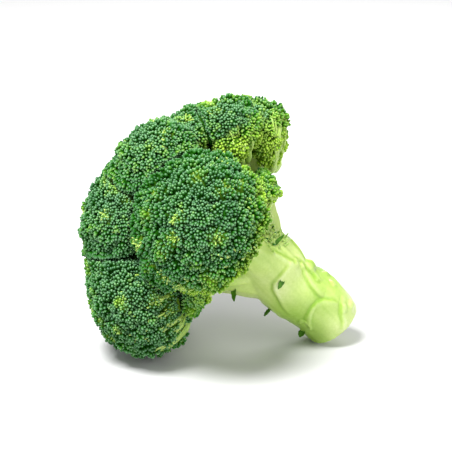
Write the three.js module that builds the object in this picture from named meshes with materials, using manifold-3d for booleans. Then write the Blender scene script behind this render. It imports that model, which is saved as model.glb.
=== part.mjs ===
// A head of broccoli, cut from its plant and lying on a flat surface. Millimetres, +Z up.
//
// The plant is first grown upright in its own space: the cut face of the stem lies at height 0,
// the stem rises to a fork, and branches fan out from the fork to the florets. A place round the
// stem is a turn in degrees: 0 is the side that faces the surface once the head lies down, and 90
// is the side that faces the front. Then the head is laid down so that it rests on three places:
// two low florets and the end of the stem.
import * as THREE from 'three';
import { mergeVertices } from 'three/addons/utils/BufferGeometryUtils.js';
import Module from 'manifold-3d';

// ---- Driving dimensions ----

const contactGap = 0.3; // clearance between two pieces that touch
const trimSwell = 0.55; // how much a piece is swollen before it trims its neighbour

const forkHeight = 60; // from the cut face to the point that the branches fan out from
const stemTopHeight = 80; // where the trunk ends between the branches
const cutRadius = 17.2; // the trunk at its cut face
const swellRadius = 18.6; // the trunk at its thickest, above the cut
const swellHeight = 19;
const waistRadius = 18; // the trunk at its waist
const waistHeight = 41;
const waistBend = 4.4; // how far the waist bows towards the resting side
const shoulderRadius = 19; // the trunk just below the fork
const shoulderHeight = 58;
const trunkSides = 36;
const trunkSteps = 20;

const crownGrowth = 1; // scales every floret's reach and radius together
const capSpread = 1.22; // how much wider than tall a floret's cap is, unless it says otherwise
const lobeDepth = 0.07; // depth of the creases between a floret's lobes, as a share of its radius
const creaseSharpness = 14; // higher is a tighter fold where two florets meet

const branchStoutness = 0.27; // a branch's radius where it carries its floret, in floret radii
const branchFlare = 0.5; // the same where it spreads under the floret
const branchSides = 10;
const branchSteps = 6;
const stubSides = 10;
const stubSteps = 6;
const branchOverrun = 0.35; // how far a branch runs past the underside before it is trimmed

const leafThickness = 1.3;
const leafSides = 12;
const leafRings = 8;

const restLean = 43; // the stem's rise above the surface as the head lies
const restHeading = 195.6; // compass direction that the crown points in, from +X towards +Y

// Each floret sits at the end of its own branch. Tilt is the branch's angle from the stem's axis,
// turn is its place round the stem, reach is the distance from the fork to the floret's middle,
// drop is how far its underside lies below its middle, in floret radii, lobes is how many lobes
// its surface has, and root is the height at which its branch leaves the middle of the trunk.
// A floret beside another has the tilt and turn of the line from its neighbour's middle to its own,
// and standOff is how far its middle lies outside the plane in which the two meet.
const florets = [
  { name: 'floret_front', tilt: 28.5, turn: 65, reach: 69.5, radius: 37, drop: 0.4, lobes: 17, root: 52 },
  { name: 'floret_apex', tilt: 30, turn: -18, reach: 85, radius: 34, drop: 0.5, lobes: 14, root: 60 },
  { name: 'floret_crest', tilt: 10, turn: -38, reach: 86.5, radius: 31, drop: 0.5, lobes: 12, root: 64 },
  { name: 'floret_upper', tilt: 15, turn: -112, reach: 84, radius: 25, drop: 0.5, lobes: 11, root: 62 },
  { name: 'floret_top_inner', tilt: 28, turn: -149, reach: 80, radius: 24, drop: 0.5, lobes: 10, root: 60 },
  { name: 'floret_top_outer', tilt: 43, turn: -152, reach: 78, radius: 22, spread: 1, drop: 0.8, lobes: 12,
    root: 56 },
  { name: 'floret_low', tilt: 57, turn: -4, reach: 78, radius: 36, drop: 0.62, lobes: 16, root: 46 },
  { name: 'floret_low_side', beside: 'floret_low', tilt: 113, turn: 126, standOff: 1.4, radius: 12, drop: 0.5,
    lobes: 8, root: 46 },
  { name: 'floret_collar', tilt: 30, turn: 170, reach: 44, radius: 12.5, drop: 0.5, lobes: 7, root: 58 },
  { name: 'floret_back', tilt: 52, turn: -70, reach: 71, radius: 35, drop: 0.5, lobes: 16, root: 50 },
  { name: 'floret_back_upper', tilt: 50, turn: -113, reach: 74, radius: 29, drop: 0.5, lobes: 13, root: 52 },
  { name: 'floret_back_low', tilt: 71, turn: -37, reach: 76, radius: 30, drop: 0.5, lobes: 12, root: 44 },
  { name: 'floret_back_collar', tilt: 57, turn: -118, reach: 48, radius: 15.5, drop: 0.5, lobes: 8, root: 50 },
];

// Small leaves left on the stem. Height and turn say where on the trunk, lean is the angle that the
// leaf stands off the trunk, and aim turns it round its own root, 0 being straight up the stem.
const leaves = [
  { name: 'leaf_face', height: 56, turn: 93, length: 8.5, width: 3.6, lean: 13, aim: 93, curl: 1.0 },
  { name: 'leaf_shoulder', height: 73, turn: 122, length: 10, width: 2.8, lean: 22, aim: -85, curl: 1.2 },
  { name: 'leaf_under_fork', height: 38, turn: 8, length: 6.5, width: 4.6, lean: 68, aim: 180, curl: 1.2 },
  { name: 'leaf_under_cut', height: 14, turn: 14, length: 5.5, width: 4.8, lean: 62, aim: 150, curl: 0.8 },
  { name: 'leaf_back_waist', height: 34, turn: 238, length: 12, width: 5, lean: 20, aim: 10, curl: 2.0 },
  { name: 'leaf_back_shoulder', height: 52, turn: 222, length: 9, width: 3.6, lean: 26, aim: -15, curl: 1.5 },
];
// One more leaf hangs from the underside of the low floret's branch, this far along the branch.
const hangingLeaf = {
  name: 'leaf_hanging', along: 0.36, turn: 50, length: 9, width: 4, lean: 50, aim: 180, curl: 1.0,
};

// Stubs of broken leaf stalks along the upper side of the trunk.
const stubs = [
  { height: 40.5, turn: 166, radius: 3.4, length: 2.8 },
  { height: 29.5, turn: 170, radius: 2.6, length: 1.8 },
  { height: 8, turn: 142, radius: 3.2, length: 1.4 },
  { height: 30, turn: 218, radius: 3.4, length: 2.6 },
];

// ---- Solids ----

const wasm = await Module();
wasm.setup();

function toSolid(geometry) {
  const bare = geometry.clone();
  bare.deleteAttribute('normal');
  bare.deleteAttribute('uv');
  const merged = mergeVertices(bare, 1e-4);
  const index = merged.index.array;
  const triangles = [];
  for (let i = 0; i < index.length; i += 3) {
    const [a, b, c] = [index[i], index[i + 1], index[i + 2]];
    if (a !== b && b !== c && c !== a) {
      triangles.push(a, b, c);
    }
  }
  return new wasm.Manifold(new wasm.Mesh({
    numProp: 3,
    vertProperties: new Float32Array(merged.attributes.position.array),
    triVerts: new Uint32Array(triangles),
  }));
}

function toGeometry(solid) {
  const mesh = solid.getMesh();
  const geometry = new THREE.BufferGeometry();
  geometry.setAttribute('position', new THREE.BufferAttribute(mesh.vertProperties, 3));
  geometry.setIndex(new THREE.BufferAttribute(mesh.triVerts, 1));
  return geometry;
}

// ---- Directions ----

const axis = new THREE.Vector3(0, 0, 1);
const fork = new THREE.Vector3(0, 0, forkHeight);

function outward(turn) {
  const angle = THREE.MathUtils.degToRad(turn);
  return new THREE.Vector3(Math.cos(angle), Math.sin(angle), 0);
}

function leaning({ tilt, turn }) {
  const angle = THREE.MathUtils.degToRad(tilt);
  return outward(turn).multiplyScalar(Math.sin(angle)).addScaledVector(axis, Math.cos(angle));
}

// ---- Florets ----

for (const [order, floret] of florets.entries()) {
  floret.size = floret.radius * crownGrowth;
  floret.spread ??= capSpread;
  floret.middle = floretMiddle(floret);
  floret.direction = floret.middle.clone().sub(fork).normalize();
  floret.lobeDirections = spreadDirections(floret.lobes, order);
}

function floretMiddle(floret) {
  if (!floret.beside) {
    return fork.clone().addScaledVector(leaning(floret), floret.reach * crownGrowth);
  }
  const host = florets.find((other) => other.name === floret.beside);
  const standOff = floret.standOff * crownGrowth;
  const apart = standOff + Math.sqrt(standOff ** 2 + host.size ** 2 - floret.size ** 2);
  return host.middle.clone().addScaledVector(leaning(floret), apart);
}

// Evenly spread directions over a sphere, each set spun by its own amount.
function spreadDirections(count, spin) {
  const goldenTurn = Math.PI * (3 - Math.sqrt(5));
  const directions = [];
  for (let i = 0; i < count; i++) {
    const height = 1 - (2 * i + 1) / count;
    const across = Math.sqrt(1 - height * height);
    const angle = goldenTurn * i + spin;
    directions.push(new THREE.Vector3(across * Math.cos(angle), across * Math.sin(angle), height));
  }
  return directions;
}

// 1 on the crest of a lobe, falling away into the creases between lobes.
function lobeHeight(floret, direction) {
  let nearest = -1;
  for (const lobe of floret.lobeDirections) {
    nearest = Math.max(nearest, direction.dot(lobe));
  }
  const spacing = 4 / floret.lobes; // 1 - cos of the angle from a lobe's crest to its edge
  return 1 - lobeDepth * Math.min(1, (1 - nearest) / spacing);
}

// The plane in which two overlapping florets meet, as the distance from the first one's middle.
function meetingDistance(floret, other) {
  const apart = other.middle.clone().sub(floret.middle);
  const distance = apart.length();
  return (distance ** 2 + floret.size ** 2 - other.size ** 2) / (2 * distance);
}

// The broad cap of a floret, wider across its branch than along it.
function capReach(floret, direction) {
  const along = direction.dot(floret.direction);
  const across = Math.sqrt(Math.max(0, 1 - along * along));
  return floret.size / Math.hypot(along, across / floret.spread);
}

// How far a floret's surface lies from its middle in a direction. The lobed cap, the flat
// underside and the folds against its neighbours are blended so that every edge is rounded.
function floretReach(floret, direction, swell) {
  const limits = [capReach(floret, direction) * lobeHeight(floret, direction)];
  const downward = -direction.dot(floret.direction);
  if (downward > 0) {
    limits.push(floret.size * floret.drop / downward);
  }
  for (const other of florets) {
    const apart = other.middle.clone().sub(floret.middle);
    const near = floret.size * floret.spread + other.size * other.spread;
    const touching = other !== floret && apart.length() < near;
    const towards = touching ? direction.dot(apart.normalize()) : 0;
    if (towards > 0) {
      limits.push((meetingDistance(floret, other) - contactGap / 2) / towards);
    }
  }
  const blended = limits.reduce((sum, limit) => sum + limit ** -creaseSharpness, 0);
  return blended ** (-1 / creaseSharpness) + swell;
}

function floretGeometry(floret, swell) {
  const detail = Math.round(1.5 + floret.radius / 11);
  const geometry = new THREE.IcosahedronGeometry(1, detail);
  const place = geometry.attributes.position;
  const direction = new THREE.Vector3();
  for (let i = 0; i < place.count; i++) {
    direction.fromBufferAttribute(place, i).normalize();
    const reach = floretReach(floret, direction, swell);
    const point = direction.clone().multiplyScalar(reach).add(floret.middle);
    place.setXYZ(i, point.x, point.y, point.z);
  }
  return geometry;
}

// ---- Stem and branches ----

// A tapered limb with closed ends along a curve. Radii are [share of the length, radius] pairs.
function limb(curve, radii, steps, sides, swell) {
  const taper = new THREE.SplineCurve(radii.map(([share, radius]) => new THREE.Vector2(radius, share)));
  const wall = taper.getPoints(steps);
  const profile = [new THREE.Vector2(0, wall[0].y), ...wall, new THREE.Vector2(0, wall[steps].y)];
  const geometry = new THREE.LatheGeometry(profile, sides);
  const place = geometry.attributes.position;
  for (let i = 0; i < place.count; i++) {
    const share = THREE.MathUtils.clamp(place.getY(i), 0, 1);
    const tangent = curve.getTangent(share);
    const side = new THREE.Vector3(1, 0, 0).addScaledVector(tangent, -tangent.x).normalize();
    const up = side.clone().cross(tangent);
    const radius = Math.hypot(place.getX(i), place.getZ(i));
    const swollen = radius > 1e-6 ? (radius + swell) / radius : 0;
    const point = curve.getPoint(share);
    point.addScaledVector(side, place.getX(i) * swollen).addScaledVector(up, place.getZ(i) * swollen);
    place.setXYZ(i, point.x, point.y, point.z);
  }
  return toSolid(geometry);
}

const trunkCurve = new THREE.CatmullRomCurve3([
  new THREE.Vector3(0, 0, 0),
  new THREE.Vector3(-waistBend / 6, 0, swellHeight),
  new THREE.Vector3(waistBend, 0, waistHeight),
  new THREE.Vector3(waistBend * 0.8, 0, shoulderHeight),
  new THREE.Vector3(0, 0, stemTopHeight),
]);

function trunkSolid(swell) {
  const radii = [
    [0, cutRadius - 0.7],
    [0.012, cutRadius],
    [swellHeight / stemTopHeight, swellRadius],
    [waistHeight / stemTopHeight, waistRadius],
    [shoulderHeight / stemTopHeight, shoulderRadius],
    [0.88, shoulderRadius * 0.94],
    [1, shoulderRadius * 0.6],
  ];
  return limb(trunkCurve, radii, trunkSteps, trunkSides, swell);
}

function branchCurve(floret) {
  const onTrunk = trunkCurve.getPoint(floret.root / stemTopHeight);
  const reach = floret.middle.distanceTo(fork);
  const length = reach - floret.size * (floret.drop - branchOverrun);
  const end = fork.clone().addScaledVector(floret.direction, length);
  const middle = fork.clone().addScaledVector(floret.direction, length * 0.45);
  const bow = middle.lerp(onTrunk.clone().lerp(end, 0.5), 0.35);
  return new THREE.CatmullRomCurve3([onTrunk, bow, end]);
}

function branchSolid(floret, swell) {
  const slim = floret.size * branchStoutness;
  const radii = [[0, slim * 1.5], [0.45, slim * 1.15], [0.75, slim], [1, floret.size * branchFlare]];
  return limb(branchCurve(floret), radii, branchSteps, branchSides, swell);
}

function stubSolid(stub, swell) {
  const inside = trunkCurve.getPoint(stub.height / stemTopHeight);
  const reach = trunkRadius(stub.height) + stub.length;
  const curve = new THREE.LineCurve3(inside, inside.clone().addScaledVector(outward(stub.turn), reach));
  const radii = [[0, stub.radius * 1.6], [0.8, stub.radius * 1.5], [0.93, stub.radius], [1, stub.radius * 0.6]];
  return limb(curve, radii, stubSteps, stubSides, swell);
}

// The trunk's plain radius at a height, without scars.
function trunkRadius(height) {
  const rising = [[0, cutRadius], [swellHeight, swellRadius], [waistHeight, waistRadius],
    [shoulderHeight, shoulderRadius], [stemTopHeight, shoulderRadius]];
  const next = rising.findIndex(([level]) => level >= height);
  const [low, lowRadius] = rising[Math.max(0, next - 1)];
  const [high, highRadius] = rising[next];
  const share = high > low ? (height - low) / (high - low) : 0;
  return THREE.MathUtils.lerp(lowRadius, highRadius, share);
}

function stalkSolid(swell) {
  let stalk = trunkSolid(swell);
  for (const floret of florets) {
    stalk = stalk.add(branchSolid(floret, swell));
  }
  for (const stub of stubs) {
    stalk = stalk.add(stubSolid(stub, swell));
  }
  for (const floret of florets) {
    stalk = stalk.subtract(toSolid(floretGeometry(floret, trimSwell - swell)));
  }
  return stalk;
}

// ---- Leaves ----

const stalk = stalkSolid(0);
const swollenStalk = stalkSolid(contactGap + 0.05);
const stalkSurface = new THREE.Mesh(toGeometry(stalk), new THREE.MeshStandardMaterial({ side: THREE.DoubleSide }));

// Where a line from inside the stalk comes out of its surface.
function surfacePoint(inside, direction) {
  const hits = new THREE.Raycaster(inside, direction).intersectObject(stalkSurface);
  return hits[0].point;
}

// A thin pointed blade, curved outwards, with its root just inside the stalk and trimmed to it.
function leafSolid(leaf, inside, out) {
  const root = surfacePoint(inside, out);
  const stemwise = axis.clone().addScaledVector(out, -axis.dot(out)).normalize();
  const up = stemwise.applyAxisAngle(out, THREE.MathUtils.degToRad(leaf.aim));
  const lean = THREE.MathUtils.degToRad(leaf.lean);
  const along = up.clone().multiplyScalar(Math.cos(lean)).addScaledVector(out, Math.sin(lean));
  const side = out.clone().cross(along).normalize();
  const face = along.clone().cross(side);
  const geometry = new THREE.SphereGeometry(1, leafSides, leafRings);
  geometry.rotateZ(-Math.PI / 2);
  const place = geometry.attributes.position;
  for (let i = 0; i < place.count; i++) {
    const share = (place.getX(i) + 1) / 2;
    const broad = place.getY(i) * (1.15 - 0.5 * share) * leaf.width / 2;
    const thick = place.getZ(i) * leafThickness / 2 + leaf.curl * share * share;
    const length = share * leaf.length - leafThickness;
    const point = root.clone().addScaledVector(along, length);
    point.addScaledVector(side, broad).addScaledVector(face, thick);
    place.setXYZ(i, point.x, point.y, point.z);
  }
  return toSolid(geometry).subtract(swollenStalk);
}

// ---- The plant, upright ----

const budGreen = new THREE.MeshStandardMaterial({ color: 0x3f7a34, roughness: 0.75, metalness: 0 });
const stemGreen = new THREE.MeshStandardMaterial({ color: 0xc4dc8a, roughness: 0.45, metalness: 0 });
const leafGreen = new THREE.MeshStandardMaterial({ color: 0x2f6a3a, roughness: 0.55, metalness: 0 });

const plant = new THREE.Group();

function addPiece(name, geometry, material) {
  const mesh = new THREE.Mesh(geometry, material);
  mesh.name = name;
  plant.add(mesh);
  return mesh;
}

// Only the largest body of a cut piece is kept, so that a cut leaves no loose flakes.
function largestBody(solid) {
  return solid.decompose().reduce((best, body) => (body.volume() > best.volume() ? body : best));
}

const stalkMesh = addPiece('stalk', toGeometry(largestBody(stalk)), stemGreen);
for (const floret of florets) {
  addPiece(floret.name, toGeometry(toSolid(floretGeometry(floret, 0))), budGreen);
}
for (const leaf of leaves) {
  const inside = trunkCurve.getPoint(leaf.height / stemTopHeight);
  addPiece(leaf.name, toGeometry(largestBody(leafSolid(leaf, inside, outward(leaf.turn)))), leafGreen);
}
const lowBranch = branchCurve(florets.find((floret) => floret.name === 'floret_low'));
const hanging = leafSolid(hangingLeaf, lowBranch.getPoint(hangingLeaf.along), outward(hangingLeaf.turn));
addPiece(hangingLeaf.name, toGeometry(largestBody(hanging)), leafGreen);

// ---- Laid down to rest ----

const group = new THREE.Group();
group.add(plant);

function layDown() {
  const lean = THREE.MathUtils.degToRad(restLean);
  const heading = THREE.MathUtils.degToRad(restHeading);
  const level = new THREE.Vector3(Math.cos(heading), Math.sin(heading), 0);
  const stemAxis = level.clone().multiplyScalar(Math.cos(lean)).addScaledVector(axis, Math.sin(lean));
  const restingSide = level.multiplyScalar(Math.sin(lean)).addScaledVector(axis, -Math.cos(lean));
  const frontSide = stemAxis.clone().cross(restingSide);
  plant.quaternion.setFromRotationMatrix(new THREE.Matrix4().makeBasis(restingSide, frontSide, stemAxis));
}

function lowestPoint(mesh) {
  plant.updateMatrixWorld(true);
  const place = mesh.geometry.attributes.position;
  const lowest = new THREE.Vector3(0, 0, Infinity);
  const point = new THREE.Vector3();
  for (let i = 0; i < place.count; i++) {
    point.fromBufferAttribute(place, i).applyMatrix4(mesh.matrixWorld);
    if (point.z < lowest.z) {
      lowest.copy(point);
    }
  }
  return lowest;
}

// Rocks the plant until its three resting places are level with each other.
function settle(rests) {
  for (let round = 0; round < 12; round++) {
    const [a, b, c] = rests.map(lowestPoint);
    const tilted = b.clone().sub(a).cross(c.clone().sub(a)).normalize();
    if (tilted.z < 0) {
      tilted.negate();
    }
    plant.quaternion.premultiply(new THREE.Quaternion().setFromUnitVectors(tilted, axis));
  }
}

layDown();
settle([
  stalkMesh,
  plant.getObjectByName('floret_low'),
  plant.getObjectByName('floret_back_low'),
]);
plant.updateMatrixWorld(true);
const box = new THREE.Box3().setFromObject(plant, true);
const boxMiddle = box.getCenter(new THREE.Vector3());
plant.position.set(-boxMiddle.x, -boxMiddle.y, -box.min.z);

export default group;
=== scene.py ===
"""A head of broccoli lying on a pale floor in soft studio light.

Each floret of the CAD frame becomes a dome of small buds over a dark core, with the thin flower
stalks that carry them fanned out underneath. The stalk becomes one smooth skin with the creases
of old leaf bases, littered with broken flower stalks and loose buds, and the small leaves become
curled blades. Sizes are in millimetres until a mesh is made.
"""

import math

import bmesh
import bpy
import numpy as np
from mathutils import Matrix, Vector
from mathutils.bvhtree import BVHTree
from mathutils.kdtree import KDTree


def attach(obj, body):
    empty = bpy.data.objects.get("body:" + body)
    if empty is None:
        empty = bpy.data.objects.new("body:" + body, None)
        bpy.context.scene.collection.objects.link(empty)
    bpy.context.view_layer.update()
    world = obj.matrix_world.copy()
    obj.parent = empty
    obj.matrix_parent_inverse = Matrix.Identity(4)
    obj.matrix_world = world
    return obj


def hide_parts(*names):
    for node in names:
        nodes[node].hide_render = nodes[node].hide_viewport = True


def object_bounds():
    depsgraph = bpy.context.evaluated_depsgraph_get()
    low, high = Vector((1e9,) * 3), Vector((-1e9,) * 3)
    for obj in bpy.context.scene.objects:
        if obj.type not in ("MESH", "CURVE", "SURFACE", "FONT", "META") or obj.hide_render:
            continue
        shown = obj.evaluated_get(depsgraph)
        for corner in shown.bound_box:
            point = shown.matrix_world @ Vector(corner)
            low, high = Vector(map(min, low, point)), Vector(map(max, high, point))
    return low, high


MM = 0.001  # a millimetre in Blender's metres

# ---- Sizes in millimetres ----

FORK_HEIGHT = 60.0  # from the cut face to where the branches fan out
BOX_MARGIN = 0.02  # how far inside the CAD model's box the buds and the skin are kept
FAR = 99.0  # a distance greater than any that is looked for

# The surface of a floret
SMOOTHING = 24  # rounds of smoothing on a large floret's faceted CAD surface
SMALL_SMOOTHING = 8  # and on a small one's
LARGE_RADIUS = 24.0  # a floret with a greater radius is a large one
SHIFT_SMOOTHING = 14  # rounds of smoothing on the moves that close the slots
SMOOTHING_PULL = 0.6  # how far a round moves each value to its neighbours' mean
FULL_RADIUS = 30.0  # florets smaller than this are lifted less and have thinner stalks
CREST_GAIN = 1.3  # how far the highest buds stand above the CAD floret, before the folds
CREST_GAP = 4.0  # that gain fades out as the gap to a neighbour closes from here
OPEN_GAP = 2.5  # a surface with a neighbour nearer than this is a wall of a slot
WALL_COVER = 6.0  # how far down such a wall the buds go on
MEETING_GAP = (11.0, 17.0)  # slots narrower than the first are closed, wider than the second left
VALLEY_FILL = 4.6  # how far the surface is raised where two florets meet
VALLEY_REACH = 7.0  # gap to the neighbour over which that fades
UNDERSIDE = (-0.70, -0.92)  # heights between which a floret's rim turns into its bare underside
BARE_EDGE = 0.12  # half the width of its soft edge, as a share of the radius

# Three sizes of clump. Each has its spacing, how far its edge lies below its crest, the depth of
# the crease between two of them, and the width of that crease.
LOBES = (25.0, 1.3, 1.5, 3.2)
CLUSTERS = (11.5, 1.7, 1.3, 2.0)
KNOTS = (4.6, 1.2, 1.3, 1.0)
CLUMP_REACH = 0.62  # from the middle of a clump to its edge, as a share of the spacing
SHALLOW_GAP = (9.0, 2.0)  # as a neighbour comes this near, the folds get shallower
SHALLOW_SHARE = 0.55  # and by this share at most

# Buds
BUD_SPACING = 1.37
BUD_RADIUS = 0.93
BUD_LENGTH = 2.7
BUD_SIDES = 6
BUD_SIZE_SPREAD = 0.14
RIM = (0.30, -0.60)  # heights between which a floret's cap turns into its rim
RIM_SHRINK = 0.12  # how much smaller the buds are at the rim
PATCH_SHRINK = 0.10  # and in a young patch
PATCH_DIP = 0.6  # how far a young patch lies below the rest
UNEVENNESS = (-0.25, 0.35)  # how far single buds are pushed in
THINNING = 0.15  # share of the buds that is missing low on the rim
BUD_LIMIT = 0.45  # buds end where the underside is bare by more than this
SPREAD_DEPTH = 1.1  # the buds of a cluster point away from this depth, in cluster spacings
CLUSTER_LEAN = 0.9  # how strongly they do
BUD_WOBBLE = 0.10
CORE_INSET = 2.1  # from the tips of the buds down to the core beneath them
BARE_INSET = 1.5  # how much deeper the core lies on a bare underside
WALL_GAIN = 0.3  # how far the cores stand out where they close a slot

# Tones of the buds, from 0 for dark green to 1 for pale yellow-green
USUAL_TONE = 0.24
CLUSTER_TONE_SPREAD = 0.05
KNOT_TONE_SPREAD = 0.06
BUD_TONE_SPREAD = 0.08
BROAD_TONE_SPREAD = 0.05
YOUNG_SHARE = 0.27  # share of the clusters that have a young yellow-green middle
PATCH_YOUTH = 0.25  # how much yellower that middle is
PATCH_RADIUS = 5.0
# How much yellower than the rest a floret is all over, and towards its rim
YOUTH = {"top_outer": 0.22, "top_inner": 0.09, "upper": 0.07, "crest": 0.04}
YOUTH.update({"collar": 0.32, "back_collar": 0.24, "low_side": 0.20})
RIM_YOUTH = {"top_outer": 0.50, "top_inner": 0.46, "upper": 0.34, "front": 0.54, "low": 0.12}
USUAL_RIM_YOUTH = 0.26
# Share of a floret's radius within which its underside has no buds
BARE = {"low": 0.40, "top_outer": 0.45, "top_inner": 0.50}
USUAL_BARE = 0.64
# Florets whose lower half hangs further down their branch than the CAD solid's, and how much
HANG = {"top_outer": 1.3, "top_inner": 1.25}

# Flower stalks under a floret: one to each cluster, which forks into twigs, and thin threads that
# show in the young patches. Radii are at the root and at the tip.
TUBE_SIDES = 6
TUBE_STEPS = 6
STALK_RADII = (2.3, 1.2)
STALK_LEVEL = 0.35  # clusters that face up more than this have no stalk
STALK_START = 3.0  # how far under the floret they start
STALK_RING = (0.20, 0.30)  # and how far out, as a share of its radius
STALK_RISE, STALK_FLARE = 3.5, 0.55  # how far up and out they bend, the second as such a share
STALK_DEPTH = 5.0  # how far under the buds' tips they end
TUCK_DEPTH = 4.6  # and how far under them their middles are kept
FORK_SHARE = 0.6  # how far along a stalk its twigs start
TWIGS = 7
TWIG_RADII = (0.9, 0.5)
TWIG_BOW, TWIG_SAG = 1.2, 0.8  # how far out and down the middle of a twig lies
TWIG_SPREAD = 3.4
TWIG_DEPTH = 3.4
THREADS = 14
THREAD_RADII = (0.7, 0.42)
THREAD_SPREAD = 2.2
THREAD_DEPTHS = (3.2, 4.4)
THREAD_ROOT = 10.0

# The stalk's skin
STALK_VOXEL = 0.72
SKIN_SMOOTHING = 36  # rounds, by turns inwards and outwards, so that the stem doesn't get thinner
SKIN_PULLS = (0.62, -0.60)
TRUNK_RADIUS = 27.0  # what lies further from the stem's axis is a branch, and has no creases
TRUNK_FADE = 4.0
CREASE_DEPTH, CREASE_WIDTH = 0.35, 0.9
LIP_HEIGHT, LIP_REACH = 1.4, 5.0  # the skin beside a crease stands proud, and falls off
RIDGE_HEIGHT, RIDGE_WIDTH = 0.9, 0.75
NUB_HEIGHT, NUB_WIDTH = 1.1, 1.4
RELIEF_LIMITS = (-0.9, 1.3)
SWELL = 0.45  # height of the skin's broad swellings
FIBRE_DEPTH = 0.25  # depth of the roughness on the cut face
FIRM_HEIGHT = 1.0  # the cut end keeps its shape up to here, and is smoothed in full
FIRM_FADE = 4.0  # this much further up
PALE_HEIGHTS = (30, 62)  # the skin pales between these heights

# Loose buds and broken flower stalks lie on this part of the stem: heights and turns.
LITTER_HEIGHTS = (66, 84)
LITTER_TURNS = (92, 165)
TURN_LENGTH = 0.35  # about how far a turn of one degree is on the skin
BROKEN_STALKS = 60
BROKEN_LENGTHS = (2.0, 4.6)
BROKEN_RADII = (0.62, 0.36)
LOOSE_BUDS = 7
LOOSE_RADIUS = 0.75
LOOSE_LENGTH = 2.0
LOOSE_TONE = 0.22

# Leaves
LEAF_LIFT = 0.4  # how far the leaves stand clear of the skin's swellings
LEAF_ROWS, LEAF_COLUMNS = 22, 11
LEAF_STRETCH = 1.2  # length of a blade, in lengths of its CAD solid
LEAF_ROOT = 0.7  # how far its root reaches back from the solid's middle, in the same
ROOT_WIDTH = 0.2
TIP_WIDTH = 0.08
LEAF_THICKNESS = 0.16
RIB_THICKNESS = 0.34
RIB_WIDTH = 0.2
LEAF_CUP = 0.14  # how far the edges curl up, as a share of the width
LEAF_CURL = 0.10  # and the tip, as a share of the length
LEAF_RUFFLE = 0.16

# ---- Light and camera, in metres ----

WORLD_STRENGTH = 0.58
LAMP_AIM = (0, 0, 0.07)
# Name, place, diameter and power
LAMPS = [
    ("key", (-0.35, -0.45, 1.2), 0.6, 32),
    ("fill", (0.9, -0.7, 0.6), 0.8, 4),
    ("back", (0.3, 0.9, 0.9), 0.6, 6),
]
CAMERA_LENS = 121.8
CAMERA_ELEVATION = 17
CAMERA_DISTANCE = 0.9
CAMERA_AIM = (0.004, 0, 0.0769)

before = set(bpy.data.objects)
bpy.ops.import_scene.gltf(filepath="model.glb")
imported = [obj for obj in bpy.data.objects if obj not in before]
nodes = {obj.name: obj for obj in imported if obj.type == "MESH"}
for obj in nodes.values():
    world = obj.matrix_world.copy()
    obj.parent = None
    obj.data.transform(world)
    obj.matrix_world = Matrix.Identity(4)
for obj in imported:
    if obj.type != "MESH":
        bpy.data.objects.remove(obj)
cad_box = [list(map(float, corner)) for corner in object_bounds()]

rng = np.random.default_rng(7)


# ---- Mesh helpers ----


def mesh_arrays(node):
    """Vertices in millimetres and triangles of a CAD node."""
    mesh = node.data
    mesh.calc_loop_triangles()
    places = np.array([v.co for v in mesh.vertices]) / MM
    triangles = np.array([t.vertices[:] for t in mesh.loop_triangles])
    return places, triangles


def place_vertices(mesh, places):
    mesh.vertices.foreach_set("co", (places * MM).astype(np.float32).ravel())


def add_object(name, data):
    obj = bpy.data.objects.new(name, data)
    bpy.context.scene.collection.objects.link(obj)
    return obj


def make_object(name, places, triangles, quads, material):
    """A smooth mesh from triangle and quad arrays."""
    mesh = bpy.data.meshes.new(name)
    triangles = np.asarray(triangles, np.int32).reshape(-1, 3)
    quads = np.asarray(quads, np.int32).reshape(-1, 4)
    corners = np.concatenate([triangles.ravel(), quads.ravel()])
    sizes = np.concatenate([np.full(len(triangles), 3), np.full(len(quads), 4)])
    starts = np.concatenate([[0], np.cumsum(sizes)[:-1]])
    mesh.vertices.add(len(places))
    place_vertices(mesh, np.asarray(places))
    mesh.loops.add(len(corners))
    mesh.loops.foreach_set("vertex_index", corners.astype(np.int32))
    mesh.polygons.add(len(sizes))
    mesh.polygons.foreach_set("loop_start", starts.astype(np.int32))
    mesh.polygons.foreach_set("loop_total", sizes.astype(np.int32))
    mesh.polygons.foreach_set("use_smooth", np.ones(len(sizes), bool))
    mesh.update(calc_edges=True)
    mesh.materials.append(material)
    return add_object(name, mesh)


def add_attribute(obj, name, values):
    layer = obj.data.attributes.new(name, "FLOAT", "POINT")
    layer.data.foreach_set("value", np.asarray(values, np.float32))


def add_bake_map(obj, across, up):
    """A UV map that lays every vertex out by two of its attributes, both from 0 to 1."""
    corner_vertex = np.empty(len(obj.data.loops), np.int32)
    obj.data.loops.foreach_get("vertex_index", corner_vertex)
    layer = obj.data.uv_layers.new(name="OFBake")
    pairs = np.stack([across[corner_vertex], up[corner_vertex]], 1)
    layer.uv.foreach_set("vector", pairs.astype(np.float32).ravel())


def unit(vectors):
    vectors = np.asarray(vectors, float)
    return vectors / np.maximum(np.linalg.norm(vectors, axis=-1, keepdims=True), 1e-9)


# ---- The plant's own directions, read from the CAD stalk ----


def cut_face(places, triangles):
    """Centre of the stem's cut face and the stem's direction: the largest flat patch."""
    a, b, c = (places[triangles[:, i]] for i in range(3))
    cross = np.cross(b - a, c - a)
    area = np.linalg.norm(cross, axis=1) / 2
    normal = unit(cross)
    planes = np.column_stack([np.round(normal * 40), np.round((normal * a).sum(1))])
    _, patch = np.unique(planes, axis=0, return_inverse=True)
    patch = patch.ravel()
    widest = patch == np.bincount(patch, weights=area).argmax()
    weight = area[widest, None]
    centre = ((a + b + c)[widest] / 3 * weight).sum(0) / weight.sum()
    return centre, -unit((normal[widest] * weight).sum(0))


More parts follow.
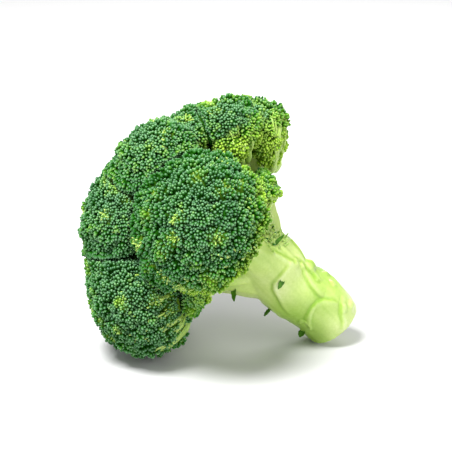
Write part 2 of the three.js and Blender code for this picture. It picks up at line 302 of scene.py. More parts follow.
stalk_places, stalk_triangles = mesh_arrays(nodes["stalk"])
cut_centre, stem_axis = cut_face(stalk_places, stalk_triangles)
fork = cut_centre + stem_axis * FORK_HEIGHT
down_side = unit(-np.array([0, 0, 1.0]) + stem_axis * stem_axis[2])
front_side = np.cross(stem_axis, down_side)


# ---- Materials ----


def new_material(name):
    material = bpy.data.materials.new(name)
    material.use_nodes = True
    tree = material.node_tree
    shader = tree.nodes["Principled BSDF"]
    return material, tree, shader


def grey(value):
    return (value, value, value)


def ramp(tree, stops, fac):
    """A colour for each value of fac, from (value, colour) stops."""
    node = tree.nodes.new("ShaderNodeValToRGB")
    elements = node.color_ramp.elements
    while len(elements) < len(stops):
        elements.new(0.5)
    for element, (place, colour) in zip(elements, stops):
        element.position = place
        element.color = (*colour, 1)
    tree.links.new(fac, node.inputs["Fac"])
    return node.outputs["Color"]


def attribute(tree, name):
    node = tree.nodes.new("ShaderNodeAttribute")
    node.attribute_name = name
    return node.outputs["Fac"]


def mix_colours(tree, fac, first, second, blend="MIX"):
    node = tree.nodes.new("ShaderNodeMix")
    node.data_type = "RGBA"
    node.blend_type = blend
    for socket, value in ((0, fac), (6, first), (7, second)):
        if isinstance(value, bpy.types.NodeSocket):
            tree.links.new(value, node.inputs[socket])
        else:
            node.inputs[socket].default_value = value if socket == 0 else (*value, 1)
    return node.outputs[2]


def object_place(tree):
    return tree.nodes.new("ShaderNodeTexCoord").outputs["Object"]


def noise(tree, scale, detail, roughness=0.5):
    """Noise that stays with the object, with about this many grains a metre."""
    node = tree.nodes.new("ShaderNodeTexNoise")
    node.inputs["Scale"].default_value = scale
    node.inputs["Detail"].default_value = detail
    node.inputs["Roughness"].default_value = roughness
    tree.links.new(object_place(tree), node.inputs["Vector"])
    return node.outputs["Fac"]


def bump(tree, shader, height, strength, distance):
    node = tree.nodes.new("ShaderNodeBump")
    node.inputs["Strength"].default_value = strength
    node.inputs["Distance"].default_value = distance
    tree.links.new(height, node.inputs["Height"])
    tree.links.new(node.outputs["Normal"], shader.inputs["Normal"])


def bud_material():
    """Bud colour by tone, ripe dark green to young yellow-green; painted light by height on a bud.
    """
    material, tree, shader = new_material("buds")
    tone = attribute(tree, "tone")
    tip = attribute(tree, "tip")
    # flank: the bud's own tone, darkened further as painted shade between the buds
    flank = ramp(tree, [
        (0.0, (0.004, 0.062, 0.001)),
        (0.35, (0.012, 0.122, 0.001)),
        (0.65, (0.070, 0.225, 0.005)),
        (1.0, (0.230, 0.420, 0.018)),
    ], tone)
    # crest: a painted highlight, pale and bluish, on each bud's tip
    crest = ramp(tree, [
        (0.0, (0.130, 0.280, 0.160)),
        (0.35, (0.240, 0.440, 0.235)),
        (0.65, (0.370, 0.570, 0.130)),
        (1.0, (0.560, 0.750, 0.150)),
    ], tone)
    # the painted highlight only comes in near the tip of each bud
    tip_highlight = ramp(tree, [(0.40, grey(0)), (0.82, grey(0.25)), (1.0, grey(1))], tip)
    colour = mix_colours(tree, tip_highlight, flank, crest)
    tree.links.new(colour, shader.inputs["Base Color"])
    shader.inputs["Roughness"].default_value = 0.42
    shader.inputs["Specular IOR Level"].default_value = 0.04
    shader.inputs["Subsurface Weight"].default_value = 0.08
    shader.inputs["Subsurface Radius"].default_value = (0.5, 1.0, 0.25)
    shader.inputs["Subsurface Scale"].default_value = 0.0008
    return material


def core_material():
    """What shows between the buds: dark green, or pale yellow-green where stem tissue is bare."""
    material, tree, shader = new_material("bud_core")
    bare = attribute(tree, "bare")
    grain = noise(tree, 900, 3)
    # outer: the floret body's green, darkened to near black as painted shade in the gaps between
    # buds
    outer = ramp(tree, [(0.35, (0.003, 0.034, 0.001)), (0.7, (0.010, 0.074, 0.002))], grain)
    inner = ramp(tree, [(0.3, (0.130, 0.270, 0.012)), (0.7, (0.320, 0.500, 0.050))], grain)
    tree.links.new(mix_colours(tree, bare, outer, inner), shader.inputs["Base Color"])
    shader.inputs["Roughness"].default_value = 0.8
    shader.inputs["Specular IOR Level"].default_value = 0.02
    bump(tree, shader, grain, 0.4, 0.0006)
    return material


def stem_skin(tree, shader, light, mid, deep, grain_scale):
    """Smooth waxy stem skin; painted shade in creases, painted highlight on lips, pale ridges."""
    broad = noise(tree, 22, 3, 0.55)
    fine = noise(tree, grain_scale, 4, 0.6)
    body = ramp(tree, [(0.30, deep), (0.50, mid), (0.72, light)], broad)
    speckled = ramp(tree, [(0.30, (0.88, 0.92, 0.80)), (0.62, grey(1))], fine)
    colour = mix_colours(tree, 1.0, body, speckled, "MULTIPLY")
    relief = attribute(tree, "relief")
    # relief carries painted shade in the creases and painted highlights on their lips and on nubs,
    # besides the pale torn ridges and fibre streaks
    folds = [(0.0, (0.66, 0.80, 0.40)), (0.5, grey(1)), (1.0, (1.20, 1.12, 1.60))]
    colour = mix_colours(tree, 1.0, colour, ramp(tree, folds, relief), "MULTIPLY")
    shader.inputs["Roughness"].default_value = 0.32
    shader.inputs["Subsurface Weight"].default_value = 0.2
    shader.inputs["Subsurface Radius"].default_value = (1.0, 0.9, 0.35)
    shader.inputs["Subsurface Scale"].default_value = 0.002
    bump(tree, shader, fine, 0.12, 0.0004)
    return colour


def stem_material():
    """The skin of the stalk, and its fibrous cut face with a paler pith and a green rim."""
    material, tree, shader = new_material("stem")
    skin = stem_skin(
        tree,
        shader,
        light=(0.53, 0.66, 0.22),
        mid=(0.42, 0.585, 0.128),
        deep=(0.29, 0.47, 0.065),
        grain_scale=700,
    )
    blanched = mix_colours(tree, 1.0, skin, (1.24, 1.12, 1.50), "MULTIPLY")
    skin = mix_colours(tree, attribute(tree, "pale"), skin, blanched)
    # darker and greener on the side facing the floor: partly the stem's own colour, partly painted
    # shade
    lush_and_shaded = mix_colours(tree, 1.0, skin, (0.80, 0.93, 0.55), "MULTIPLY")
    skin = mix_colours(tree, attribute(tree, "underside_green_and_shade"), skin, lush_and_shaded)
    ring = attribute(tree, "ring")
    fibres = noise(tree, 1500, 2)
    flesh = ramp(tree, [
        (0.0, (0.66, 0.76, 0.40)),
        (0.62, (0.58, 0.72, 0.32)),
        (0.80, (0.40, 0.58, 0.16)),
        (0.90, (0.62, 0.76, 0.36)),
        (1.0, (0.34, 0.55, 0.12)),
    ], ring)
    flecks = ramp(tree, [(0.35, (0.74, 0.80, 0.62)), (0.55, grey(1))], fibres)
    flesh = mix_colours(tree, 1.0, flesh, flecks, "MULTIPLY")
    colour = mix_colours(tree, attribute(tree, "cut"), skin, flesh)
    tree.links.new(colour, shader.inputs["Base Color"])
    return material


def twig_material():
    """The skin of the thin flower stalks."""
    material, tree, shader = new_material("twig")
    skin = stem_skin(
        tree,
        shader,
        light=(0.50, 0.66, 0.20),
        mid=(0.37, 0.55, 0.11),
        deep=(0.22, 0.41, 0.05),
        grain_scale=1200,
    )
    tree.links.new(skin, shader.inputs["Base Color"])
    return material


def leaf_material():
    """A dark mottled blade with a paler midrib."""
    material, tree, shader = new_material("leaf")
    vein = attribute(tree, "vein")
    mottle = noise(tree, 420, 3)
    blade = ramp(tree, [(0.3, (0.030, 0.120, 0.006)), (0.7, (0.095, 0.260, 0.016))], mottle)
    colour = mix_colours(tree, vein, blade, (0.090, 0.230, 0.040))
    tree.links.new(colour, shader.inputs["Base Color"])
    shader.inputs["Roughness"].default_value = 0.5
    shader.inputs["Specular IOR Level"].default_value = 0.2
    bump(tree, shader, mottle, 0.25, 0.0004)
    return material


BUDS = bud_material()
CORE = core_material()
STEM = stem_material()
TWIG = twig_material()
LEAF = leaf_material()


# ---- Spreading points ----


def scatter(places, triangles, spacing, tries=14):
    """Points spread over a surface, no two nearer than the spacing, and their triangles.

    tries is the number of random points for each square as wide as the spacing.
    """
    a, b, c = (places[triangles[:, i]] for i in range(3))
    area = np.linalg.norm(np.cross(b - a, c - a), axis=1) / 2
    count = int(area.sum() / spacing**2 * tries)
    chosen = rng.choice(len(area), count, p=area / area.sum())
    first, second = rng.random((2, count, 1))
    folded = first + second > 1
    first, second = np.where(folded, 1 - first, first), np.where(folded, 1 - second, second)
    points = a[chosen] + first * (b - a)[chosen] + second * (c - a)[chosen]
    cells = np.floor(points / spacing).astype(int)
    kept, grid = [], {}
    limit = spacing * spacing
    steps = [(i, j, k) for i in (-1, 0, 1) for j in (-1, 0, 1) for k in (-1, 0, 1)]
    rows = points.tolist()
    for index, (cell, (x, y, z)) in enumerate(zip(map(tuple, cells.tolist()), rows)):
        near = False
        for i, j, k in steps:
            for other in grid.get((cell[0] + i, cell[1] + j, cell[2] + k), ()):
                u, v, w = rows[other]
                if (x - u) ** 2 + (y - v) ** 2 + (z - w) ** 2 < limit:
                    near = True
                    break
            if near:
                break
        if not near:
            grid.setdefault(cell, []).append(index)
            kept.append(index)
    return points[kept], chosen[kept]


def point_tree(points, chosen=None):
    """A search tree of the points, or of the chosen ones only."""
    tree = KDTree(len(points))
    for i in range(len(points)) if chosen is None else chosen:
        tree.insert(points[i], i)
    tree.balance()
    return tree


def two_nearest(points, centres):
    """Distances from each point to its nearest and second nearest centre, and which is nearest."""
    tree = point_tree(centres)
    first, second, which = (np.empty(len(points)) for _ in range(3))
    for i, point in enumerate(points):
        found = tree.find_n(point, 2)
        first[i], which[i] = found[0][2], found[0][1]
        second[i] = found[1][2]
    return first, second, which.astype(int)


def fold(first, second, clump):
    """How far a surface sinks between rounded clumps: a dome with a crease round it."""
    spacing, dome, crease, width = clump
    edge = np.clip(first / (spacing * CLUMP_REACH), 0, 1.2)
    return dome * edge**2 + crease * np.exp(-(((second - first) / width) ** 2))


# ---- Florets ----


def icosphere(subdivisions):
    ball = bmesh.new()
    bmesh.ops.create_icosphere(ball, subdivisions=subdivisions, radius=1)
    directions = np.array([v.co for v in ball.verts])
    triangles = np.array([[v.index for v in f.verts] for f in ball.faces])
    edges = np.array([[v.index for v in e.verts] for e in ball.edges])
    ball.free()
    return unit(directions), triangles, edges


BALLS = {detail: icosphere(detail) for detail in (5, 6)}


def neighbour_mean(values, edges):
    """Each vertex's mean over the vertices it shares an edge with."""
    values = np.atleast_2d(values.T)
    a, b = edges[:, 0], edges[:, 1]
    size = values.shape[1]
    count = np.bincount(a, minlength=size) + np.bincount(b, minlength=size)
    means = []
    for row in values:
        total = np.bincount(a, weights=row[b], minlength=size)
        total += np.bincount(b, weights=row[a], minlength=size)
        means.append(total / count)
    return np.array(means).T.squeeze()


def soft_noise(places, scale, seed):
    """A smooth random field with values about -1 to 1, from a few crossing waves."""
    waves = np.random.default_rng(seed)
    total = np.zeros(len(places))
    for _ in range(14):
        heading = unit(waves.normal(size=3)) / (scale * waves.uniform(0.7, 1.6))
        total += np.sin(places @ heading * 2 * math.pi + waves.uniform(0, 2 * math.pi))
    return total / 3.7  # about the root of the number of waves


def smooth_step(low, high, values):
    share = np.clip((values - low) / (high - low), 0, 1)
    return share * share * (3 - 2 * share)


def gap_to_others(floret, florets, points):
    """Distance from each point to the nearest other floret, and the step that leads there."""
    gap = np.full(len(points), FAR)
    step = np.zeros((len(points), 3))
    search = MEETING_GAP[1]
    low, high = points.min(0) - search, points.max(0) + search
    for other in florets:
        apart = (other.low > high).any() or (other.high < low).any()
        if other is floret or apart:
            continue
        for i, point in enumerate(points):
            place, _, _, distance = other.solid.find_nearest(Vector(point), min(search, gap[i]))
            if place is not None:
                gap[i] = distance
                step[i] = place - Vector(point)
    return gap, step


class Floret:
    """A CAD floret: its smoothed surface, its middle and the way it faces, away from the fork."""

    def __init__(self, name):
        self.name = name
        self.short_name = name.removeprefix("floret_")
        places, triangles = mesh_arrays(nodes[name])
        self.low, self.high = places.min(0), places.max(0)
        self.solid = BVHTree.FromPolygons(places.tolist(), triangles.tolist())
        self.middle = (self.low + self.high) / 2
        self.facing = unit(self.middle - fork)
        across = places - self.middle
        self.radius = np.percentile(np.linalg.norm(across, axis=1), 80)
        self.fullness = min(1.0, self.radius / FULL_RADIUS)
        self.drop = -(across @ self.facing).min()
        self.bare = BARE.get(self.short_name, USUAL_BARE)

    def grow(self, florets):
        """Makes the surface that the buds' tips reach, raised in the valleys between florets."""
        large = self.radius > LARGE_RADIUS
        directions, self.triangles, edges = BALLS[6 if large else 5]
        reach = np.empty(len(directions))
        start = Vector(self.middle)
        for i, direction in enumerate(directions):
            reach[i] = self.solid.ray_cast(start, Vector(direction))[3] or self.radius
        for _ in range(SMOOTHING if large else SMALL_SMOOTHING):
            reach += SMOOTHING_PULL * (neighbour_mean(reach, edges) - reach)
        places = self.middle + directions * reach[:, None]
        self.gap, step = gap_to_others(self, florets, places)
        lift = VALLEY_FILL * np.exp(-((self.gap / VALLEY_REACH) ** 2)) * self.fullness
        shift = step * (0.5 * smooth_step(*MEETING_GAP[::-1], self.gap))[:, None]
        shift += unit(places - fork) * lift[:, None]
        for _ in range(SHIFT_SMOOTHING):
            shift += SMOOTHING_PULL * (neighbour_mean(shift, edges) - shift)
        crest = CREST_GAIN * smooth_step(0, CREST_GAP, self.gap)
        places += directions * crest[:, None] + shift
        hang = HANG.get(self.short_name, 1)
        up = np.minimum((places - self.middle) @ self.facing, 0)
        self.places = places + self.facing * (up * (hang - 1))[:, None]
        self.drop *= hang
        open_surface = point_tree(self.places, np.flatnonzero(self.gap > OPEN_GAP))
        self.depth = np.zeros(len(places))
        for i in np.flatnonzero(self.gap <= OPEN_GAP):
            self.depth[i] = open_surface.find(self.places[i])[2]
        self.reach = np.linalg.norm(self.places - self.middle, axis=1)
        self.directions = (self.places - self.middle) / self.reach[:, None]
        self.clumps = [
            scatter(self.places, self.triangles, clump[0], tries=25)[0]
            for clump in (LOBES, CLUSTERS, KNOTS)
        ]
        self.compass = point_tree(self.directions)

    def nearest_vertices(self, points):
        return np.array([self.compass.find(point)[1] for point in unit(points - self.middle)])

    def sink(self, points):
        """How far the buds' tips lie below the surface, each point's cluster and its distance."""
        total = np.zeros(len(points))
        for clump, centres in zip((LOBES, CLUSTERS, KNOTS), self.clumps):
            if len(centres) < 2:
                continue
            first, second, which = two_nearest(points, centres)
            total += fold(first, second, clump)
            if clump is CLUSTERS:
                cluster, far = which, first
        at_slot = smooth_step(*SHALLOW_GAP, self.gap[self.nearest_vertices(points)])
        return total * (1 - SHALLOW_SHARE * at_slot), cluster, far

    def height(self, points):
        """Height along the branch, from about 1 on the crown through 0 to -1 on the underside."""
        up = (points - self.middle) @ self.facing
        return np.where(up > 0, up / self.radius, up / self.drop)

    def below(self, points):
        """1 on the underside, 0 on the cap, with a soft edge at the rim."""
        away = points - self.middle
        aside = away - (away @ self.facing)[:, None] * self.facing
        lateral = np.linalg.norm(aside, axis=1) / self.radius
        middle = smooth_step(self.bare + BARE_EDGE, self.bare - BARE_EDGE, lateral)
        return smooth_step(*UNDERSIDE, self.height(points)) * middle

    def inside(self, point, depth):
        """The point, drawn towards the middle until it lies this deep under the surface."""
        away = point - self.middle
        distance = np.linalg.norm(away)
        _, nearest, _ = self.compass.find(away / distance)
        limit = self.reach[nearest] - depth
        return self.middle + away * min(1.0, limit / distance)


def bud_template():
    """A closed bud: a short egg with a drawn-in base and a blunt tip, along +Z, base at 0."""
    rings = [(0.0, 0.5), (0.40, 1.0), (0.82, 0.74)]  # height and radius of each
    places, tips = [], []
    for order, (height, width) in enumerate(rings):
        for side in range(BUD_SIDES):
            angle = 2 * math.pi * (side + 0.5 * (order % 2)) / BUD_SIDES
            places.append((width * math.cos(angle), width * math.sin(angle), height))
            tips.append(height)
    places += [(0, 0, -0.06), (0, 0, 1.0)]
    tips += [0, 1]
    base, top = len(places) - 2, len(places) - 1
    triangles, quads = [], []
    for side in range(BUD_SIDES):
        after = (side + 1) % BUD_SIDES
        triangles.append((after, side, base))
        for ring in range(len(rings) - 1):
            low, high = ring * BUD_SIDES, (ring + 1) * BUD_SIDES
            quads.append((low + side, low + after, high + after, high + side))
        last = (len(rings) - 1) * BUD_SIDES
        triangles.append((last + side, last + after, top))
    return np.array(places), np.array(tips), np.array(triangles), np.array(quads)


TEMPLATE = bud_template()


def frames_along(directions):
    """Two unit vectors square to each direction, turned at random about it."""
    helper = unit(rng.normal(size=directions.shape))
    first = unit(np.cross(directions, helper))
    return first, np.cross(directions, first)


def bud_object(name, places, tones):
    """A piece made of whole buds, from their vertices [bud, vertex, 3] and all their tones."""
    spots, tips, triangles, quads = TEMPLATE
    shift = np.arange(len(places))[:, None, None] * len(spots)
    obj = make_object(
        name,
        places.reshape(-1, 3),
        (triangles[None] + shift).reshape(-1, 3),
        (quads[None] + shift).reshape(-1, 4),
        BUDS,
    )
    heights = np.tile(tips, len(places)).astype(float)
    add_attribute(obj, "tone", tones)
    add_attribute(obj, "tip", heights)
    add_bake_map(obj, tones, heights)
    return obj


def make_buds(floret):
    """A floret's buds, leaning away from their cluster's root, and the young clusters' middles."""
    points, _ = scatter(floret.places, floret.triangles, BUD_SPACING)
    points = points[floret.below(points) < BUD_LIMIT]
    points = points[floret.depth[floret.nearest_vertices(points)] < WALL_COVER]
    loose = smooth_step(-0.15, -0.9, floret.height(points))  # further apart towards the underside
    points = points[rng.random(len(points)) > THINNING * loose]
    height = floret.height(points)

    clusters = floret.clumps[1]
    young = rng.random(len(clusters)) < YOUNG_SHARE
    sink, which, far = floret.sink(points)
    patch = young[which] * np.exp(-((far / PATCH_RADIUS) ** 2))
    rim = smooth_step(*RIM, height)
    shade = rng.normal(0, CLUSTER_TONE_SPREAD, len(clusters))[which]
    knots = floret.clumps[2]
    knot_shade = rng.normal(0, KNOT_TONE_SPREAD, len(knots))[two_nearest(points, knots)[2]]
    shade += knot_shade + BROAD_TONE_SPREAD * soft_noise(points, scale=22, seed=11)
    youth = YOUTH.get(floret.short_name, 0) + PATCH_YOUTH * patch
    youth += RIM_YOUTH.get(floret.short_name, USUAL_RIM_YOUTH) * rim
    tone = USUAL_TONE + shade + youth + rng.normal(0, BUD_TONE_SPREAD, len(points))

    outward = unit(points - floret.middle)
    size = rng.normal(1.0, BUD_SIZE_SPREAD, len(points)).clip(0.7, 1.3)
    size *= 1 - RIM_SHRINK * rim - PATCH_SHRINK * patch
    length = BUD_LENGTH * size
    lowered = sink + PATCH_DIP * patch + length + rng.uniform(*UNEVENNESS, len(points))
    base = points - outward * lowered[:, None]
    root = clusters[which] - unit(clusters[which] - floret.middle) * CLUSTERS[0] * SPREAD_DEPTH
    wobble = rng.normal(0, BUD_WOBBLE, base.shape)
    leaning = unit(unit(base - root) * CLUSTER_LEAN + outward + wobble)
    right, up = frames_along(leaning)
    spots = TEMPLATE[0]
    width = (BUD_RADIUS * size)[:, None, None]
    places = (
        base[:, None]
        + right[:, None] * (spots[None, :, :1] * width)
        + up[:, None] * (spots[None, :, 1:2] * width)
        + leaning[:, None] * (spots[None, :, 2:] * length[:, None, None])
    )
    places += inward_shift(places)[:, None]
    tones = np.repeat(tone.clip(0, 1), len(spots)) + np.tile(spots[:, 0] * 0.02, len(points))
    return bud_object(floret.name + "_buds", places, tones.clip(0, 1)), clusters[young]


def inward_shift(places):
    """How far each bud is pressed back where it would stand out of the CAD model's box."""
    low, high = (np.array(corner) / MM for corner in cad_box)
    under = np.maximum(low + BOX_MARGIN - places.min(1), 0)
    over = np.maximum(places.max(1) - high + BOX_MARGIN, 0)
    return under - over


def make_core(floret, patches):
    """The body beneath the buds, with stem tissue showing underneath and in the young patches."""
    sink, _, _ = floret.sink(floret.places)
    below = floret.below(floret.places)
    walled = smooth_step(0.5 * WALL_COVER, WALL_COVER, floret.depth)  # no buds there: cores meet
    inset = CORE_INSET + sink * (1 - below) + BARE_INSET * below
    reach = floret.reach - inset * (1 - walled) + WALL_GAIN * walled
    places = floret.middle + floret.directions * reach[:, None]
    obj = make_object(floret.name + "_core", places, floret.triangles, [], CORE)
    bare = np.maximum(below, 0.5 * smooth_step(-0.2, -0.8, floret.height(floret.places)))
    if len(patches) > 1:
        away = two_nearest(floret.places, patches)[0]
        bare = np.maximum(bare, 0.5 * np.exp(-((away / PATCH_RADIUS) ** 2)))
    add_attribute(obj, "bare", bare)
    return obj


# ---- Tubes ----


class TubeSet:
    """Many tapered tubes with closed ends, gathered into one mesh."""

    def __init__(self):
        self.places, self.triangles, self.quads = [], [], []

    def add(self, path, ends):
        """A tube along the path, tapered evenly between the radii of its two ends."""
        start = len(self.places)
        radii = np.linspace(*ends, len(path))
        tangents = unit(np.gradient(path, axis=0))
        helper = np.array([0.3, 0.9, 0.2])
        for place, tangent, radius in zip(path, tangents, radii):
            side = unit(np.cross(tangent, helper))
            up = np.cross(tangent, side)
            for i in range(TUBE_SIDES):
                angle = 2 * math.pi * i / TUBE_SIDES
                spoke = side * math.cos(angle) + up * math.sin(angle)
                self.places.append(place + spoke * radius)
        self.places.append(path[0] - tangents[0] * radii[0] * 0.4)
        self.places.append(path[-1] + tangents[-1] * radii[-1] * 0.6)
        low, high = len(self.places) - 2, len(self.places) - 1
        rows = len(path)
        for i in range(TUBE_SIDES):
            after = (i + 1) % TUBE_SIDES
            self.triangles.append((start + i, start + after, low))
            end = start + (rows - 1) * TUBE_SIDES
            self.triangles.append((end + after, end + i, high))
            for row in range(rows - 1):
                a, b = start + row * TUBE_SIDES, start + (row + 1) * TUBE_SIDES
                self.quads.append((a + after, a + i, b + i, b + after))

    def finish(self, name, paleness=0.5):
        obj = make_object(name, self.places, self.triangles, self.quads, TWIG)
        add_attribute(obj, "relief", np.full(len(self.places), paleness))
        return obj


def curve_between(start, bend, end):
    share = np.linspace(0, 1, TUBE_STEPS + 1)[:, None]
    return start * (1 - share) ** 2 + bend * 2 * share * (1 - share) + end * share**2


def make_stems(floret, patches):
    """Flower stalks from the branch's end out to the clusters, each forking near its cluster."""

    def tucked(path):
        """The path, kept under the buds wherever there are any."""
        covered = floret.below(path) < 0.5
        pairs = zip(path, covered)
        return np.array([floret.inside(p, TUCK_DEPTH) if hidden else p for p, hidden in pairs])

    tubes = TubeSet()
    base = floret.middle - floret.facing * (floret.drop + STALK_START)
    for cluster in floret.clumps[1]:
        direction = unit(cluster - floret.middle)
        level = direction @ floret.facing
        walled = floret.gap[floret.nearest_vertices(cluster[None])[0]] < MEETING_GAP[0]
        if level > STALK_LEVEL or walled or floret.below(cluster[None])[0] > 0.9:
            continue
        sideways = unit(direction - floret.facing * level)
        start = base + sideways * floret.radius * rng.uniform(*STALK_RING)
        end = floret.inside(cluster, STALK_DEPTH)
        bend = base + floret.facing * STALK_RISE + sideways * floret.radius * STALK_FLARE
        path = tucked(curve_between(start, bend, end))
        tubes.add(path, np.array(STALK_RADII) * floret.fullness)
        fork_place = path[int(TUBE_STEPS * FORK_SHARE)]
        for _ in range(TWIGS):
            aim = floret.inside(cluster + rng.normal(0, TWIG_SPREAD, 3), TWIG_DEPTH)
            middle = (fork_place + aim) / 2 + sideways * TWIG_BOW - floret.facing * TWIG_SAG
            tubes.add(tucked(curve_between(fork_place, middle, aim)), TWIG_RADII)
    for patch in patches:
        inner = floret.inside(patch, THREAD_ROOT)
        for _ in range(THREADS):
            spread = rng.normal(0, THREAD_SPREAD, 3)
            aim = floret.inside(patch + spread, rng.uniform(*THREAD_DEPTHS))
            middle = (inner + aim) / 2 + rng.normal(0, 0.5, 3)
            tubes.add(curve_between(inner, middle, aim), THREAD_RADII)
    return tubes.finish(floret.name + "_stems")


# ---- The stalk ----

# Creases on the stem's skin, as (height above the cut, turn round the stem) points: the edges of
# old leaf bases. The skin stands proud on one side of each. A turn is in degrees: 0 on the side
# that faces the floor, 90 on the front.
CREASES = [
    [(60, 104), (59, 89), (58, 70), (56.5, 55), (53.5, 49), (47, 44), (40, 39), (30, 34)],
    [(53.5, 114), (60.5, 104), (67, 98), (73, 92)],
    [(49, 128), (44.5, 111), (38, 101), (31, 99), (27, 102)],
    [(17, 120), (21.5, 113), (26, 103), (28.5, 89), (28, 73), (24.5, 53), (20, 44)],
    [(18, 136), (15, 119), (11, 107), (6, 99), (2.5, 87)],
    [(52, 8), (44, 16), (36, 15), (28, 6)],
]
CREASE_COPIES = [(0, 0), (118, 5), (236, -3)]  # turn and height that each copy is shifted by
# Torn skin, as short raised ridges, and small nubs, both as (height, turn) points
RIDGES = [
    [(14, 40), (17, 47), (21, 55), (25, 67), (27, 78)],
    [(22, 36), (23.5, 43), (21.5, 48), (18.5, 46)],
]
NUBS = [(11, 118), (48, 125), (25, 144), (36, 128), (54, 112), (40, 212), (22, 250), (46, 300)]


def around_stem(places):
    """Height above the cut face, step away from the stem's axis and turn about it, in radians."""
    height = (places - cut_centre) @ stem_axis
    across = places - cut_centre - height[:, None] * stem_axis
    return height, across, np.arctan2(across @ front_side, across @ down_side)


def along_path(turn, height, radius, points, turn_shift=0, height_shift=0):
    """How each vertex lies to a line on the stem's skin: distance, side (1 or -1) and end fade."""
    nearest = np.full(len(height), FAR)
    side = np.ones(len(height))
    fade = np.zeros(len(height))
    count = len(points) - 1
    for order, ((low, low_turn), (high, high_turn)) in enumerate(zip(points, points[1:])):
        middle_turn = math.radians((low_turn + high_turn) / 2 + turn_shift)
        half = math.radians(high_turn - low_turn) / 2
        x = ((turn - middle_turn + math.pi) % (2 * math.pi) - math.pi + half) * radius
        y = height - height_shift - low
        dx, dy = 2 * half * radius, high - low
        share = np.clip((x * dx + y * dy) / (dx * dx + dy * dy + 1e-9), 0, 1)
        away = np.hypot(x - share * dx, y - share * dy)
        closer = away < nearest
        nearest = np.where(closer, away, nearest)
        side = np.where(closer, np.sign(dx * y - dy * x), side)
        fade = np.where(closer, np.sin(math.pi * (order + share) / count) ** 0.5, fade)
    return nearest, side, fade


def stalk_skin_mesh():
    """The CAD stalk as a mesh of even, small faces."""
    obj = add_object("skin_source", nodes["stalk"].data.copy())
    remesh = obj.modifiers.new("remesh", "REMESH")
    remesh.mode = "VOXEL"
    remesh.voxel_size = STALK_VOXEL * MM
    depsgraph = bpy.context.evaluated_depsgraph_get()
    mesh = bpy.data.meshes.new_from_object(obj.evaluated_get(depsgraph))
    bpy.data.objects.remove(obj)
    return mesh


def make_stalk():
    """The CAD stalk as one smooth skin, with a crisp cut end and the creases of old leaf bases."""
    mesh = stalk_skin_mesh()
    places = np.array([v.co for v in mesh.vertices]) / MM
    edges = np.array([e.vertices[:] for e in mesh.edges])
    height = (places - cut_centre) @ stem_axis
    free = np.clip((height - FIRM_HEIGHT) / FIRM_FADE, 0.0, 1)[:, None]
    for step in range(SKIN_SMOOTHING):
        pull = SKIN_PULLS[step % 2]
        places = places + (neighbour_mean(places, edges) - places) * free * pull
    place_vertices(mesh, places)
    mesh.update()
    normals = np.array([v.normal for v in mesh.vertices])

    height, across, angle = around_stem(places)
    radius = np.linalg.norm(across, axis=1)
    relief, shade = np.zeros(len(places)), np.zeros(len(places))
    for turn_shift, height_shift in CREASE_COPIES:
        for points in CREASES:
            away, side, fade = along_path(angle, height, radius, points, turn_shift, height_shift)
            relief -= CREASE_DEPTH * fade * np.exp(-((away / CREASE_WIDTH) ** 2))
            proud = smooth_step(-CREASE_WIDTH, CREASE_WIDTH, away * side)
            relief += LIP_HEIGHT * fade * proud * np.exp(-away / LIP_REACH)
            # painted shade at the foot of the lip, and a painted highlight along its top
            shade -= 1.2 * fade * np.exp(-(((away * side + 0.4) / 1.1) ** 2))
            shade += 0.8 * fade * np.exp(-(((away * side - 1.8) / 1.2) ** 2))
    for points in RIDGES:  # pale on top, with a green line on each side
        away, _, _ = along_path(angle, height, radius, points)
        relief += RIDGE_HEIGHT * np.exp(-((away / RIDGE_WIDTH) ** 2))
        shade += 0.6 * np.exp(-((away / 0.8) ** 2)) - 0.5 * np.exp(-(((away - 1.6) / 0.6) ** 2))
    # each nub: a painted highlight on it and painted shade in a ring round its foot
    for nub_height, nub_turn in NUBS:
        short = [(nub_height, nub_turn), (nub_height + 1.2, nub_turn + 4)]
        away, _, _ = along_path(angle, height, radius, short)
        relief += NUB_HEIGHT * np.exp(-((away / NUB_WIDTH) ** 2))
        shade += 0.4 * np.exp(-((away / NUB_WIDTH) ** 2))
        shade -= 0.4 * np.exp(-(((away - 2.5) / 0.8) ** 2))
    near_trunk = np.clip((TRUNK_RADIUS - radius) / TRUNK_FADE, 0, 1)
    relief = relief.clip(*RELIEF_LIMITS) * np.clip(height / 1.5, 0, 1) * near_trunk
    lengthwise = np.column_stack([across @ front_side, across @ down_side, height * 0.1])
    shade = shade.clip(-1, 1) * near_trunk + 0.16 * soft_noise(lengthwise, scale=3.5, seed=9)
    swell = SWELL * soft_noise(places, scale=19, seed=3) * np.clip(height / 6, 0, 1)
    at_cut = np.clip((0.9 - height) / 0.6, 0, 1) * (normals @ stem_axis < -0.6)
    fibres = -FIBRE_DEPTH * at_cut * (0.6 + 0.4 * soft_noise(places, scale=2.4, seed=5))
    places = places + normals * (relief + swell + fibres)[:, None]
    low, high = (np.array(corner) / MM for corner in cad_box)
    places = places.clip(low + BOX_MARGIN, high - BOX_MARGIN)
    place_vertices(mesh, places)
    mesh.materials.clear()
    mesh.materials.append(STEM)
    mesh.polygons.foreach_set("use_smooth", [True] * len(mesh.polygons))
    mesh.update()
    stalk = add_object("stalk_skin", mesh)
    # the shade goes to the material as relief: painted shade and highlights of creases and nubs,
    # and the ridges' and fibres' own tones
    add_attribute(stalk, "relief", 0.5 + 0.5 * shade)
    # the side facing the floor: partly the stem's own greener colour, partly painted shade
    underside = smooth_step(-0.1, 1.0, across @ down_side / radius) * near_trunk
    patchy = 0.5 + 0.5 * soft_noise(places, scale=24, seed=21)
    pale = smooth_step(*PALE_HEIGHTS, height) + 0.5 * patchy
    add_attribute(stalk, "pale", pale.clip(0, 1))
    add_attribute(stalk, "underside_green_and_shade", underside * smooth_step(56, 30, height))
    add_attribute(stalk, "cut", at_cut)
    add_attribute(stalk, "ring", (radius / radius[at_cut > 0.5].max()).clip(0, 1))
    return stalk


